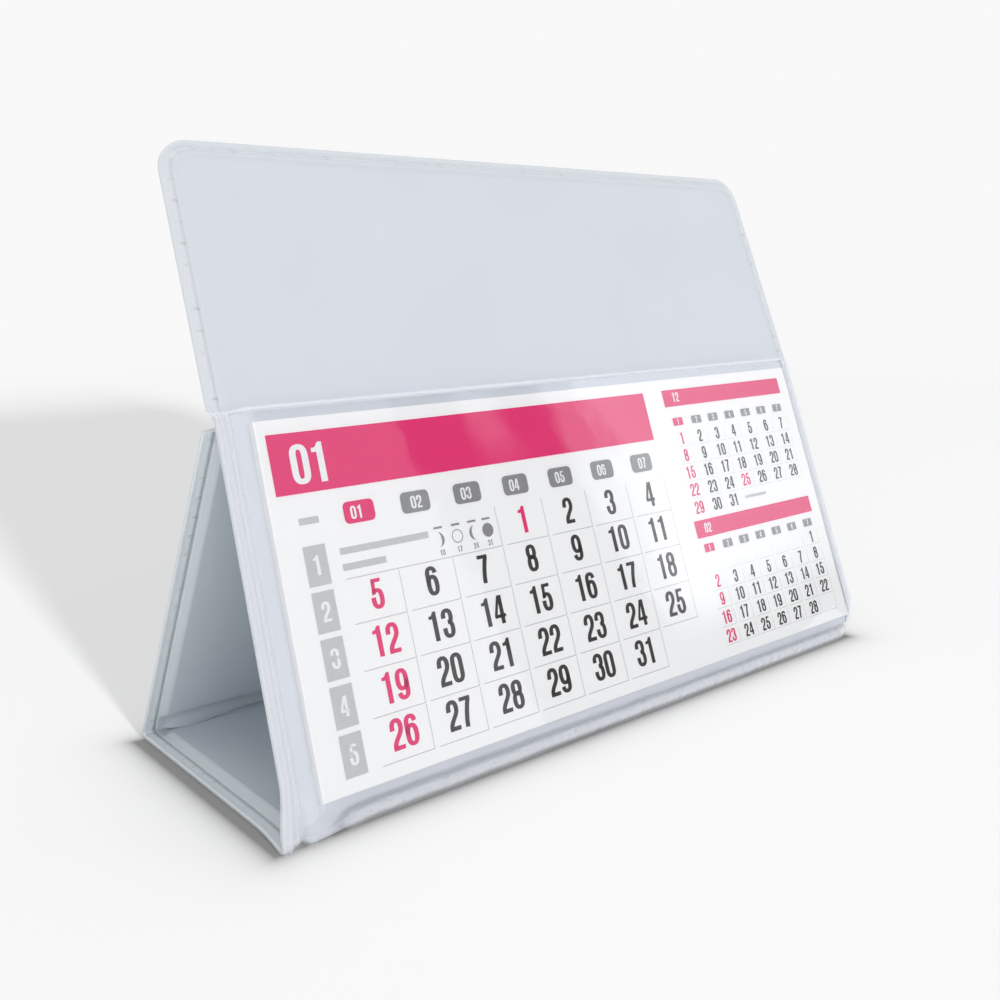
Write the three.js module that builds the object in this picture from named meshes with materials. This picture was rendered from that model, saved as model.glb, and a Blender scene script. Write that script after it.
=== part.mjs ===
// Folded desk calendar: a strip of two vinyl sheets with boards welded between them,
// bent into a triangular stand, with month cards in a clear pocket on its front.
// X runs along the width, the front faces -Y, and Z is up from the table.
import * as THREE from 'three';

// Driving dimensions of the stand, in millimetres, with leans in degrees from the vertical
const width = 200;
const frontHeight = 151.5;
const frontLeanDegrees = 19.6;
const crownLeanDegrees = 22;
const crownStart = 88.5;
const baseDepth = 71.5;
const propHeight = 87.5;
const topCornerRadius = 8;
const foldInnerRadius = 0.5;
const foldWeld = 3;

// Sheets and boards
const vinylThickness = 0.4;
const boardThickness = 1.8;
const airGap = 0.1;
const rimWidth = 3;
const rimSink = 0.5;
const rampWidth = 2;
const boardMargin = 0.4;

// Tongue at the top of the back panel, and the strap that holds it behind the front
const tongueLength = 16;
const tongueShoulder = 3;
const shoulderStep = 0.3;
const tongueInset = 12;
const tongueCornerRadius = 5;
const tongueBendRadius = 1;
const slideGap = 0.15;
const strapHeight = 20;
const strapLift = 3;

// Month cards, one behind the other in the pocket
const cardLeft = 8.3;
const cardRightMargin = 6.7;
const cardBottom = 7.3;
const pocketMouth = 3.2;
const cardThickness = 0.25;
const cardCount = 6;

// Clear pocket
const filmThickness = 0.3;
const filmBottom = 3;
const filmWeld = 2.2;
const filmClearance = 0.4;

// Printed fields on the front card, measured from its top left corner. The main month is on
// the left, and the two neighbouring months stand in a side block at the right margin.
const inkThickness = 0.08;
const inkGap = 0.05;
const bannerLeft = 2.2;
const bannerTop = 3.2;
const bannerHeight = 13.2;
const sideWidth = 53.9;
const sideMargin = 4.3;
const sideGap = 7.8;
const sideBannerHeight = 4.8;
const sideBannerTop = 3.1;
const sidePitch = 37.5;
const gridLeft = 13.8;
const gridOverhang = 0.4;
const tabTop = 19.7;
const tabWidth = 7.9;
const tabHeight = 4.8;
const tabRadius = 1.2;
const weekLeft = 6;
const weekTop = 27.6;
const weekWidth = 5.3;
const weekHeight = 8.5;
const weekPitch = 9.73;
const weekCount = 5;
const dayCount = 7;
const sideMonths = 2;

// Colours
const vinylColour = 0xdcdfe8;
const liningColour = 0xc9ced8;
const boardColour = 0xa89c8a;
const cardColour = 0xfbfbfa;
const filmColour = 0xe8edf5;
const pinkColour = 0xda2a5f;
const greyColour = 0x8f8f91;
const paleGreyColour = 0xc9cccd;

// Heights of the layers, measured outwards from the cover's outer face
const liningFace = -(2 * vinylThickness + 2 * airGap + boardThickness);
const pressedLiningFace = -(rimSink + 2 * vinylThickness + airGap);
const foldRadius = foldInnerRadius - pressedLiningFace;
const cardPitch = cardThickness + airGap;
const inkFace = cardCount * cardPitch + inkGap;
const filmFace = inkFace + inkThickness + airGap;

// The film ends where the front starts to bend back, and the cards stop short of its mouth
const filmHeight = crownStart;
const cardWidth = width - cardLeft - cardRightMargin;
const cardHeight = filmHeight - pocketMouth - cardBottom;
const sideLeft = cardWidth - sideMargin - sideWidth;
const bannerWidth = sideLeft - sideGap - bannerLeft;
const columnPitch = (bannerLeft + bannerWidth + gridOverhang - gridLeft) / dayCount;

// A direction that leans by an angle from the vertical, to the rear where it is positive
function leaning(degrees) {
  const angle = THREE.MathUtils.degToRad(degrees);
  return new THREE.Vector2(Math.sin(angle), Math.cos(angle));
}

// Corners of the cover's outer face, seen from its left end
const up = leaning(frontLeanDegrees);
const crownUp = leaning(crownLeanDegrees);
const crownInward = new THREE.Vector2(crownUp.y, -crownUp.x);
const frontFold = new THREE.Vector2(0, 0);
const rearFold = new THREE.Vector2(baseDepth, 0);
const crownCorner = up.clone().multiplyScalar(crownStart);
const crownTop = crownCorner.clone().addScaledVector(crownUp, frontHeight - crownStart);
const tongueDistance = slideGap - liningFace - pressedLiningFace;
const tongueCorner = crownCorner.clone().addScaledVector(crownUp, propHeight - crownStart)
  .addScaledVector(crownInward, tongueDistance);
const tongueTop = tongueCorner.clone().addScaledVector(crownUp, tongueLength);

// A straight stretch between two corners, shortened where a bend starts or ends
function stretch(from, to, startCut, endCut) {
  const along = to.clone().sub(from).normalize();
  const length = from.distanceTo(to) - startCut - endCut;
  const start = from.clone().addScaledVector(along, startCut);
  const normal = new THREE.Vector2(along.y, -along.x);
  const at = (distance) => ({ point: start.clone().addScaledVector(along, distance), normal });
  return { length, at };
}

// How much of each leg a rounded bend of the outer face takes up
function bendCut(before, corner, after, radius) {
  const a = corner.clone().sub(before).normalize();
  const b = after.clone().sub(corner).normalize();
  return radius * Math.tan(Math.acos(THREE.MathUtils.clamp(a.dot(b), -1, 1)) / 2);
}

// Places along a rounded bend, between the last normal and the next one
function bend(start, end, radius, steps) {
  const side = Math.sign(start.normal.cross(end.normal));
  const centre = start.point.clone().addScaledVector(start.normal, -side * radius);
  const turn = start.normal.angle() - end.normal.angle();
  const angle = -side * Math.abs(THREE.MathUtils.euclideanModulo(turn + Math.PI, 2 * Math.PI) - Math.PI);
  return Array.from({ length: steps - 1 }, (_, step) => {
    const normal = start.normal.clone().rotateAround(frontFold, (-angle * (step + 1)) / steps);
    return { point: centre.clone().addScaledVector(normal, side * radius), normal };
  });
}

const frontCut = bendCut(crownCorner, frontFold, rearFold, foldRadius);
const rearCut = bendCut(frontFold, rearFold, tongueCorner, foldRadius);
const tongueCut = bendCut(rearFold, tongueCorner, tongueTop, tongueBendRadius);
const crown = stretch(crownTop, crownCorner, 0, 0);
const front = stretch(crownCorner, frontFold, 0, frontCut);
const base = stretch(frontFold, rearFold, frontCut, rearCut);
const back = stretch(rearFold, tongueCorner, rearCut, tongueCut);
const tongue = stretch(tongueCorner, tongueTop, tongueCut, 0);

// Distances of the flattened bands and full thickness from a weld line
const foldBand = [0, foldWeld, foldWeld + rampWidth];
const backBand = tongueShoulder + rampWidth;
const foldSteps = 6;
const tongueSteps = 4;

// Rows of a rounded corner: distance from the edge, and how far the side draws in
function cornerRows(radius) {
  return [90, 60, 30, 0].map((degrees) => {
    const angle = THREE.MathUtils.degToRad(degrees);
    return { from: radius * (1 - Math.sin(angle)), inset: radius * (1 - Math.cos(angle)) };
  });
}

// How far a rounded edge draws in at a distance from it
function cornerInset(radius, distance) {
  if (distance >= radius) return 0;
  return radius - Math.sqrt(radius * radius - (radius - distance) ** 2);
}

// Rows of the step where the rim ends and the tongue starts: nearly level, then hollow
function shoulderRows() {
  const level = 0.4 * tongueShoulder;
  return [0, 30, 60, 90].map((degrees) => {
    const angle = THREE.MathUtils.degToRad(degrees);
    const inset = level + (tongueShoulder - level) * Math.sin(angle);
    const rise = shoulderStep + (tongueShoulder - 2 * shoulderStep) * (1 - Math.cos(angle));
    return { inset, rise };
  });
}

// The strip's rows from the front's top edge, round both folds, to the tip of the tongue.
// Each row has its place, its side's inset and its fullness: 0 in a weld and 1 over a board.
function stripRows() {
  const rows = [];
  const push = (place, inset, fullness) => rows.push({ ...place, inset, fullness });
  const ramp = (distance, start) => THREE.MathUtils.clamp((distance - start) / rampWidth, 0, 1);
  const topRows = cornerRows(topCornerRadius).map((row) => row.from);
  const crownMarks = [...topRows, rimWidth, rimWidth + rampWidth].sort((a, b) => a - b);
  for (const d of crownMarks) push(crown.at(d), cornerInset(topCornerRadius, d), ramp(d, rimWidth));
  const crownBend = crown.at(crown.length);
  crownBend.normal = crownBend.normal.clone().add(front.at(0).normal).normalize();
  push(crownBend, 0, 1);
  for (const d of foldBand.toReversed()) push(front.at(front.length - d), 0, ramp(d, foldWeld));
  for (const place of bend(front.at(front.length), base.at(0), foldRadius, foldSteps)) push(place, 0, 0);
  for (const d of foldBand) push(base.at(d), 0, ramp(d, foldWeld));
  for (const d of foldBand.toReversed()) push(base.at(base.length - d), 0, ramp(d, foldWeld));
  for (const place of bend(base.at(base.length), back.at(0), foldRadius, foldSteps)) push(place, 0, 0);
  for (const d of foldBand) push(back.at(d), 0, ramp(d, foldWeld));
  push(back.at(back.length - backBand), 0, 1);
  push(back.at(back.length - tongueShoulder), 0, 0);
  for (const { inset, rise } of shoulderRows()) {
    push(back.at(back.length - tongueShoulder + rise), inset, 0);
  }
  for (const place of bend(back.at(back.length), tongue.at(0), tongueBendRadius, tongueSteps)) {
    push(place, tongueShoulder, 0);
  }
  push(tongue.at(0), tongueShoulder, 0);
  push(tongue.at(tongueShoulder), tongueInset, 0);
  for (const row of cornerRows(tongueCornerRadius).reverse()) {
    push(tongue.at(tongue.length - row.from), tongueInset + row.inset, 0);
  }
  return rows;
}

// Distances from a row's end at which the strip is flat, and at which it is at full thickness
const sideMarks = [0, rimWidth, rimWidth + rampWidth];

// A closed thin sheet over rows of the section. Each row has a list of places across it,
// and the two faces stand at heights that depend on the place's fullness.
function sheet(rows, outerHeight, innerHeight) {
  const columns = rows[0].across.length;
  const positions = [];
  for (const height of [outerHeight, innerHeight]) {
    for (const row of rows) {
      for (const { x, fullness } of row.across) {
        const reach = height(fullness);
        positions.push(x - width / 2);
        positions.push(row.point.x + row.normal.x * reach, row.point.y + row.normal.y * reach);
      }
    }
  }
  const index = (face, row, column) => (face * rows.length + row) * columns + column;
  const triangles = [];
  const quad = (a, b, c, d) => triangles.push(a, b, c, a, c, d);
  const lastRow = rows.length - 1;
  const lastColumn = columns - 1;
  for (let r = 0; r < lastRow; r++) {
    for (let c = 0; c < lastColumn; c++) {
      quad(index(0, r, c), index(0, r + 1, c), index(0, r + 1, c + 1), index(0, r, c + 1));
      quad(index(1, r, c), index(1, r, c + 1), index(1, r + 1, c + 1), index(1, r + 1, c));
    }
    quad(index(0, r, 0), index(1, r, 0), index(1, r + 1, 0), index(0, r + 1, 0));
    quad(index(0, r, lastColumn), index(0, r + 1, lastColumn),
      index(1, r + 1, lastColumn), index(1, r, lastColumn));
  }
  for (let c = 0; c < lastColumn; c++) {
    quad(index(0, 0, c), index(0, 0, c + 1), index(1, 0, c + 1), index(1, 0, c));
    quad(index(0, lastRow, c), index(1, lastRow, c),
      index(1, lastRow, c + 1), index(0, lastRow, c + 1));
  }
  const geometry = new THREE.BufferGeometry();
  geometry.setAttribute('position', new THREE.Float32BufferAttribute(positions, 3));
  geometry.setIndex(triangles);
  geometry.computeVertexNormals();
  return geometry;
}

// A flat slab over the front, between two heights up the front and two faces above it
function frontSlab(left, right, bottom, top, near, far) {
  const place = (height) => ({ point: up.clone().multiplyScalar(height), normal: front.at(0).normal });
  const across = [left, right].map((x) => ({ x, fullness: 0 }));
  const rows = [top, bottom].map((height) => ({ ...place(height), across }));
  return sheet(rows, () => far, () => near);
}

const group = new THREE.Group();

function add(name, geometry, colour, roughness, options = {}) {
  const material = new THREE.MeshStandardMaterial({ color: colour, roughness, metalness: 0, ...options });
  const mesh = new THREE.Mesh(geometry, material);
  mesh.name = name;
  group.add(mesh);
}

// Cover and lining: the same strip of vinyl twice, welded at the rims and folds
function addVinyl() {
  const rows = stripRows().map((row) => {
    const marks = sideMarks.map((mark) => ({
      x: row.inset + mark,
      fullness: Math.min(row.fullness, mark > rimWidth ? 1 : 0),
    }));
    const mirrorMarks = marks.map(({ x, fullness }) => ({ x: width - x, fullness })).reverse();
    return { ...row, across: [...marks, ...mirrorMarks] };
  });
  const coverTop = (fullness) => -rimSink * (1 - fullness);
  const liningTop = (fullness) => THREE.MathUtils.lerp(
    pressedLiningFace + vinylThickness, liningFace + vinylThickness, fullness);
  add('outer_cover', sheet(rows, coverTop, (f) => coverTop(f) - vinylThickness), vinylColour, 0.42);
  add('inner_lining', sheet(rows, liningTop, (f) => liningTop(f) - vinylThickness), liningColour, 0.5);
}

// Boards between the two vinyl sheets, one for each panel
function addBoards() {
  const side = rimWidth + rampWidth + boardMargin;
  const across = [side, width - side].map((x) => ({ x, fullness: 1 }));
  const outer = () => -(vinylThickness + airGap);
  const inner = () => -(vinylThickness + airGap + boardThickness);
  const board = (name, places) => {
    const rows = places.map((place) => ({ ...place, across }));
    add(name, sheet(rows, outer, inner), boardColour, 0.9);
  };
  const foldEnd = foldWeld + rampWidth + boardMargin;
  const middle = crown.at(crown.length);
  middle.normal = middle.normal.clone().add(front.at(0).normal).normalize();
  board('front_board', [crown.at(side), middle, front.at(front.length - foldEnd)]);
  board('base_board', [base.at(foldEnd), base.at(base.length - foldEnd)]);
  board('back_board', [back.at(foldEnd), back.at(back.length - backBand - boardMargin)]);
}

// Strap behind the front panel: a vinyl band, welded at its ends, that holds the tongue
function addStrap() {
  const bottom = propHeight + strapLift;
  const behind = (height) => {
    const distance = height - crownStart;
    const point = crownCorner.clone().addScaledVector(crownUp, distance);
    return { point, normal: crown.at(0).normal };
  };
  const tongueFace = -(tongueDistance - rimSink) - slideGap;
  const face = (fullness) => THREE.MathUtils.lerp(pressedLiningFace - airGap, tongueFace, fullness);
  const marks = [
    { x: 0, fullness: 0 },
    { x: rimWidth, fullness: 0 },
    { x: rimWidth + rampWidth, fullness: 1 },
  ];
  const across = [...marks, ...marks.map(({ x, fullness }) => ({ x: width - x, fullness })).reverse()];
  const rows = [bottom + strapHeight, bottom].map((height) => ({ ...behind(height), across }));
  add('tongue_strap', sheet(rows, face, (f) => face(f) - vinylThickness), liningColour, 0.5);
}

// Month cards, the current month in front
function addCards() {
  for (let card = 1; card <= cardCount; card++) {
    const near = airGap + (cardCount - card) * cardPitch;
    add(`month_card_${card}`, frontSlab(cardLeft, cardLeft + cardWidth, cardBottom,
      cardBottom + cardHeight, near, near + cardThickness), cardColour, 0.6);
  }
}

// Clear pocket: a film welded along its sides and bottom, open along its top edge
function addPocket() {
  const rise = (x, fullness) => ({ x, fullness });
  const across = (fullness) => [
    rise(0, 0),
    rise(rimWidth, 0),
    rise(cardLeft - filmClearance, fullness),
    rise(cardLeft + cardWidth + filmClearance, fullness),
    rise(width - rimWidth, 0),
    rise(width, 0),
  ];
  const place = (height) => ({ point: up.clone().multiplyScalar(height), normal: front.at(0).normal });
  const rows = [
    { ...place(filmHeight), across: across(1) },
    { ...place(cardBottom - filmClearance), across: across(1) },
    { ...place(filmBottom + filmWeld), across: across(0) },
    { ...place(filmBottom), across: across(0) },
  ];
  const face = (fullness) => THREE.MathUtils.lerp(airGap - rimSink, filmFace, fullness);
  add('clear_pocket', sheet(rows, (f) => face(f) + filmThickness, face), filmColour, 0.1,
    { transparent: true, opacity: 0.25 });
}

// A flat field of ink on the front card, with rounded corners where it has a radius
function inkField(left, top, fieldWidth, fieldHeight, radius = 0) {
  const shape = new THREE.Shape();
  const right = left + fieldWidth;
  const bottom = top + fieldHeight;
  shape.moveTo(left + radius, -bottom);
  shape.lineTo(right - radius, -bottom);
  if (radius > 0) shape.absarc(right - radius, radius - bottom, radius, -Math.PI / 2, 0);
  shape.lineTo(right, -top - radius);
  if (radius > 0) shape.absarc(right - radius, -top - radius, radius, 0, Math.PI / 2);
  shape.lineTo(left + radius, -top);
  if (radius > 0) shape.absarc(left + radius, -top - radius, radius, Math.PI / 2, Math.PI);
  shape.lineTo(left, radius - bottom);
  if (radius > 0) shape.absarc(left + radius, radius - bottom, radius, Math.PI, 1.5 * Math.PI);
  const solid = { depth: inkThickness, bevelEnabled: false, curveSegments: 3 };
  return new THREE.ExtrudeGeometry(shape, solid);
}

// The card's own frame: its top left corner, with X along it and Z out of it
function layOnCard(geometry) {
  const out = front.at(0).normal;
  const origin = up.clone().multiplyScalar(cardBottom + cardHeight).addScaledVector(out, inkFace);
  const frame = new THREE.Matrix4().makeBasis(
    new THREE.Vector3(1, 0, 0), new THREE.Vector3(0, up.x, up.y), new THREE.Vector3(0, out.x, out.y));
  frame.setPosition(cardLeft - width / 2, origin.x, origin.y);
  return geometry.applyMatrix4(frame);
}

function addPrint() {
  const field = (name, colour, ...box) => add(name, layOnCard(inkField(...box)), colour, 0.5);
  field('month_banner', pinkColour, bannerLeft, bannerTop, bannerWidth, bannerHeight);
  for (let month = 0; month < sideMonths; month++) {
    const top = sideBannerTop + month * sidePitch;
    field(`side_banner_${month + 1}`, pinkColour, sideLeft, top, sideWidth, sideBannerHeight);
  }
  for (let day = 0; day < dayCount; day++) {
    const left = gridLeft + (day + 0.5) * columnPitch - tabWidth / 2;
    const colour = day === 0 ? pinkColour : greyColour;
    field(`day_tab_${day + 1}`, colour, left, tabTop, tabWidth, tabHeight, tabRadius);
  }
  for (let week = 0; week < weekCount; week++) {
    field(`week_field_${week + 1}`, paleGreyColour, weekLeft, weekTop + week * weekPitch,
      weekWidth, weekHeight);
  }
}

addVinyl();
addBoards();
addStrap();
addCards();
addPocket();
addPrint();

// The origin goes to the middle of the footprint's box, on the table
const box = new THREE.Box3().setFromObject(group);
group.position.set(0, -(box.min.y + box.max.y) / 2, -box.min.z);
group.updateMatrixWorld(true);

export default group;
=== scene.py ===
import math

import bpy
import numpy as np
from mathutils import Matrix, Vector, noise

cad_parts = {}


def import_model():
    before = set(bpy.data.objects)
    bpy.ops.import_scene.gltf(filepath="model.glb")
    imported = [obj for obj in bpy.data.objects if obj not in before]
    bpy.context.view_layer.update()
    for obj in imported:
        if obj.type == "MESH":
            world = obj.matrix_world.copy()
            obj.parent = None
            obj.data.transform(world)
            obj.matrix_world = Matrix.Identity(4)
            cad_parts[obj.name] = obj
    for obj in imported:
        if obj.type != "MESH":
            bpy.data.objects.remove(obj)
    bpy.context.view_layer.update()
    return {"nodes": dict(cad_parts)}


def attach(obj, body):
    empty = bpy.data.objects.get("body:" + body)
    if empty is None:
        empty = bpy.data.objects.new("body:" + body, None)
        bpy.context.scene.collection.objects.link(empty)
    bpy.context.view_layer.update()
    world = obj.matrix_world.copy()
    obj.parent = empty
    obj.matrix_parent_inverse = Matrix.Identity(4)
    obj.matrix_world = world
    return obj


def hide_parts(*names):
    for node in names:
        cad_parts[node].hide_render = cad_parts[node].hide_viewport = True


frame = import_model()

MM = 0.001
NODES = frame["nodes"]

# The section of the stand in millimetres, as the CAD source has it: the front fold's sharp
# corner is the origin, the first axis runs to the rear and the second one up.
WIDTH = 200.0
FRONT_HEIGHT = 151.5
CROWN_START = 88.5
BASE_DEPTH = 71.5
PROP_HEIGHT = 87.5
FOLD_RADIUS = 1.9
CORNER_RADIUS = 8.0
RIM = 3.0
RAMP = 2.0
RIM_SINK = 0.5
SHEET = 0.4
LINING_FACE = -2.8
PRESSED_LINING = -1.4
TONGUE_DISTANCE = 4.35
TONGUE_LENGTH = 16.0
TONGUE_SHOULDER = 3.0
SHOULDER_RISE = 1.2
TONGUE_INSET = 12.0
TONGUE_CORNER = 5.0
SECTION_SHIFT = -34.8655
SHARP_ANGLE = math.radians(38.0)
CARD_LEFT, CARD_RIGHT = 8.3, 193.3
CARD_TOP = 85.3
CARD_FACE = 2.10
PRINT_FACE = 2.23
FILM_FACE = 2.33
FILM_THICKNESS = 0.3
WELD_THICKNESS = 0.25
STRAP_HEIGHT = 20.0
STRAP_LIFT = 3.0
LAYER_GAP = 0.02

# How the front fold's two ends leave the plain section, and how the pocket draws the left side in.
LEFT_BULGE = 1.7
RIGHT_LIFT = 3.4
PINCH_FORWARD, PINCH_DOWN, PINCH_OUT = 1.5, 0.42, 1.2
FOLD_REACH = 7.0
LIFT_REACH = 16.0
CORNER_DRAW, CORNER_REACH = 4.5, 5.5
POCKET_DRAW, POCKET_DRAW_WIDTH = 1.3, 8.0


def leaning(degrees):
    angle = math.radians(degrees)
    return np.array([math.sin(angle), math.cos(angle)])


def unit(vector):
    return vector / np.linalg.norm(vector)


def smooth(value):
    value = np.clip(value, 0.0, 1.0)
    return value * value * (3 - 2 * value)


def bell(value, centre, spread):
    return np.exp(-(((value - centre) / spread) ** 2))


def rises(value, start, end):
    """0 up to the start, 1 from the end on, with a soft step between."""
    return smooth((value - start) / (end - start))


def falls(value, start, end):
    """1 up to the start, 0 from the end on, with a soft step between."""
    return smooth((end - value) / (end - start))


UP = leaning(19.6)
FRONT_OUT = np.array([-UP[1], UP[0]])
CROWN_UP = leaning(22.0)
CROWN_IN = np.array([CROWN_UP[1], -CROWN_UP[0]])
CROWN_CORNER = UP * CROWN_START
CROWN_TOP = CROWN_CORNER + CROWN_UP * (FRONT_HEIGHT - CROWN_START)
REAR_FOLD = np.array([BASE_DEPTH, 0.0])
TONGUE_CORNER_AT = CROWN_CORNER + CROWN_UP * (PROP_HEIGHT - CROWN_START) + CROWN_IN * TONGUE_DISTANCE
TONGUE_TOP = TONGUE_CORNER_AT + CROWN_UP * TONGUE_LENGTH


def rounded_path(corners, radii):
    """Straight runs and arcs along the section: (first length, last length, place at a length)."""
    parts = []
    length = 0.0
    start = corners[0]
    for before, corner, after, radius in zip(corners, corners[1:], corners[2:], radii):
        a, b = unit(corner - before), unit(after - corner)
        turn = math.atan2(a[0] * b[1] - a[1] * b[0], float(a @ b))
        cut = radius * math.tan(abs(turn) / 2)
        end = corner - a * cut
        normal = np.array([a[1], -a[0]])
        run = float(np.linalg.norm(end - start))
        parts.append((length, length + run, lambda t, p=start, d=a, n=normal: (p + d * t, n)))
        length += run
        side = math.copysign(1.0, turn)
        centre = end - normal * radius * side
        arc = radius * abs(turn)

        def on_arc(t, centre=centre, normal=normal, radius=radius, side=side):
            angle = side * t / radius
            c, s = math.cos(angle), math.sin(angle)
            turned = np.array([c * normal[0] - s * normal[1], s * normal[0] + c * normal[1]])
            return centre + turned * radius * side, turned

        parts.append((length, length + arc, on_arc))
        length += arc
        start = corner + b * cut
    last = unit(corners[-1] - start)
    run = float(np.linalg.norm(corners[-1] - start))
    parts.append((length, length + run, lambda t: (start + last * t, np.array([last[1], -last[0]]))))
    return parts


PATH = rounded_path(
    [CROWN_TOP, CROWN_CORNER, np.zeros(2), REAR_FOLD, TONGUE_CORNER_AT, TONGUE_TOP],
    [60.0, FOLD_RADIUS, FOLD_RADIUS, 1.0],
)
CROWN_RUN, CROWN_ARC, FRONT_RUN, FRONT_ARC, BASE_RUN, REAR_ARC, BACK_RUN, TONGUE_ARC, TONGUE_RUN = PATH
FRONT_FOLD_MID = (FRONT_ARC[0] + FRONT_ARC[1]) / 2
REAR_FOLD_MID = (REAR_ARC[0] + REAR_ARC[1]) / 2
FOLD_HALF = (FRONT_ARC[1] - FRONT_ARC[0]) / 2
REAR_HALF = (REAR_ARC[1] - REAR_ARC[0]) / 2
STRIP_END = TONGUE_RUN[1]


def section_at(length):
    """The place and the outward direction at a length along the section."""
    first, last, place = next(part for part in PATH if length <= part[1] or part[1] == STRIP_END)
    return place(min(max(length - first, 0.0), last - first))


def outline_inset(length):
    """How far the strip's side draws in at a length: rounded top corners, shoulders, tongue."""
    if length < CORNER_RADIUS:
        return CORNER_RADIUS - math.sqrt(CORNER_RADIUS**2 - (CORNER_RADIUS - length) ** 2)
    shoulder = BACK_RUN[1] - SHOULDER_RISE
    if length <= shoulder:
        return 0.0
    if length < BACK_RUN[1]:
        rise = (length - shoulder) / SHOULDER_RISE
        if rise < 0.2:
            return 0.45 * TONGUE_SHOULDER * rise / 0.2
        turn = math.acos(max(0.0, 1 - (rise - 0.2) / 0.8))
        return TONGUE_SHOULDER * (0.45 + 0.55 * math.sin(min(turn, math.pi / 2)))
    if length < TONGUE_RUN[0]:
        return TONGUE_SHOULDER
    rise = length - TONGUE_RUN[0]
    inset = TONGUE_SHOULDER + (TONGUE_INSET - TONGUE_SHOULDER) * min(rise / TONGUE_SHOULDER, 1.0)
    left = STRIP_END - length
    if left < TONGUE_CORNER:
        inset += TONGUE_CORNER - math.sqrt(TONGUE_CORNER**2 - (TONGUE_CORNER - left) ** 2)
    return inset


def spaced(*stretches):
    """Values from stretches of (start, end, step), joined and without doubles."""
    values = [np.linspace(a, b, max(2, int(round((b - a) / step)) + 1)) for a, b, step in stretches]
    merged = np.unique(np.round(np.concatenate(values), 5))
    return merged[np.insert(np.diff(merged) > 0.02, 0, True)]


ROWS = spaced(
    (0.0, 1.0, 0.12), (1.0, 8.0, 0.3), (8.0, FRONT_ARC[0] - 12.0, 1.6),
    (FRONT_ARC[0] - 12.0, FRONT_ARC[1] + 8.0, 0.4), (FRONT_ARC[1] + 8.0, REAR_ARC[0] - 8.0, 1.6),
    (REAR_ARC[0] - 8.0, REAR_ARC[1] + 9.0, 0.3), (REAR_ARC[1] + 9.0, BACK_RUN[1] - 6.0, 1.6),
    (BACK_RUN[1] - 6.0, BACK_RUN[1] - 1.3, 0.35), (BACK_RUN[1] - 1.3, BACK_RUN[1], 0.1),
    (BACK_RUN[1], TONGUE_RUN[0] + 4.0, 0.3), (TONGUE_RUN[0] + 4.0, STRIP_END - 5.0, 1.0),
    (STRIP_END - 5.0, STRIP_END, 0.35),
)
SIDE_COLUMNS = spaced(
    (0.0, 0.5, 0.12), (0.5, 2.0, 0.3), (2.0, 6.0, 0.2), (6.0, 10.0, 0.5), (10.0, 26.0, 2.0))
MIDDLE_COLUMNS = np.linspace(0.0, 1.0, 32)[1:-1]


def across(inset):
    """Places across a row: fine near both sides, and coarser between them."""
    left = inset + SIDE_COLUMNS
    right = WIDTH - left[::-1]
    return np.concatenate([left, left[-1] + (right[0] - left[-1]) * MIDDLE_COLUMNS, right])


def bumps(x, y, seed, scale):
    """Smooth noise from -1 to 1 over two coordinates in millimetres."""
    return noise.noise(Vector((x / scale, y / scale, seed)))


bump_field = np.vectorize(bumps, otypes=[float])


def strip_fields():
    """The strip's grid: places, normals, distance from the outline, and fullness over the boards."""
    x = np.array([across(outline_inset(s)) for s in ROWS])
    s = np.repeat(ROWS[:, None], x.shape[1], axis=1)
    places = [section_at(length) for length in ROWS]
    point = np.repeat(np.array([p for p, n in places])[:, None, :], x.shape[1], axis=1)
    normal = np.repeat(np.array([n for p, n in places])[:, None, :], x.shape[1], axis=1)
    side = np.minimum(x, WIDTH - x)
    corner = (side < CORNER_RADIUS) & (s < CORNER_RADIUS)
    reach = np.hypot(CORNER_RADIUS - side, CORNER_RADIUS - s)
    edge = np.where(corner, CORNER_RADIUS - reach, np.minimum(side, s))
    edge = np.minimum(edge, STRIP_END - s)
    tongue = s > BACK_RUN[1] - TONGUE_SHOULDER
    insets = np.array([outline_inset(length) for length in ROWS])[:, None]
    edge = np.where(tongue, np.minimum(side - insets, STRIP_END - s), edge)
    angle = np.arctan2(CORNER_RADIUS - s, np.maximum(CORNER_RADIUS - side, 1e-6))
    along = np.where(corner, CORNER_RADIUS * (1 - angle), s)
    top = (s < side) & ~corner
    along = np.where(top, CORNER_RADIUS * (1 - math.pi / 2) - (side - CORNER_RADIUS), along)
    depth = [
        edge - RIM,
        np.abs(s - FRONT_FOLD_MID) - FOLD_HALF - RIM,
        np.abs(s - REAR_FOLD_MID) - REAR_HALF - RIM,
        BACK_RUN[1] - TONGUE_SHOULDER - s,
    ]
    return x, s, point, normal, edge, along, depth


def soft_minimum(values, softness=0.35):
    stacked = np.stack([np.clip(v, -1.0, 6.0) for v in values])
    return -softness * np.log(np.exp(-stacked / softness).sum(axis=0))


def corner_settle(x, point):
    """Where the fold's ends leave the straight line: a bulge and a pinched point on the left, and a
    lifted right end."""
    from_fold = np.hypot(point[..., 0], point[..., 1])
    near = bell(from_fold, 0.0, FOLD_REACH)
    bulge = LEFT_BULGE * rises(x, 3.8, 5.8) * falls(x, 6.0, 20.0) * near
    lift = RIGHT_LIFT * rises(x, 187.0, WIDTH) ** 1.5 * bell(from_fold, 0.0, LIFT_REACH)
    pinch = falls(x, 1.6, 4.2) * near
    moved = point.copy()
    moved[..., 0] += lift * 0.25 - bulge - PINCH_FORWARD * pinch
    moved[..., 1] += lift - 0.12 * bulge - PINCH_DOWN * pinch
    return moved


def world(x, point):
    """Metres in the part's frame from places along the width and in the section."""
    out = np.empty(point.shape[:-1] + (3,))
    out[..., 0] = (x - WIDTH / 2) * MM
    out[..., 1] = (point[..., 0] + SECTION_SHIFT) * MM
    out[..., 2] = point[..., 1] * MM
    return out


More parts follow.
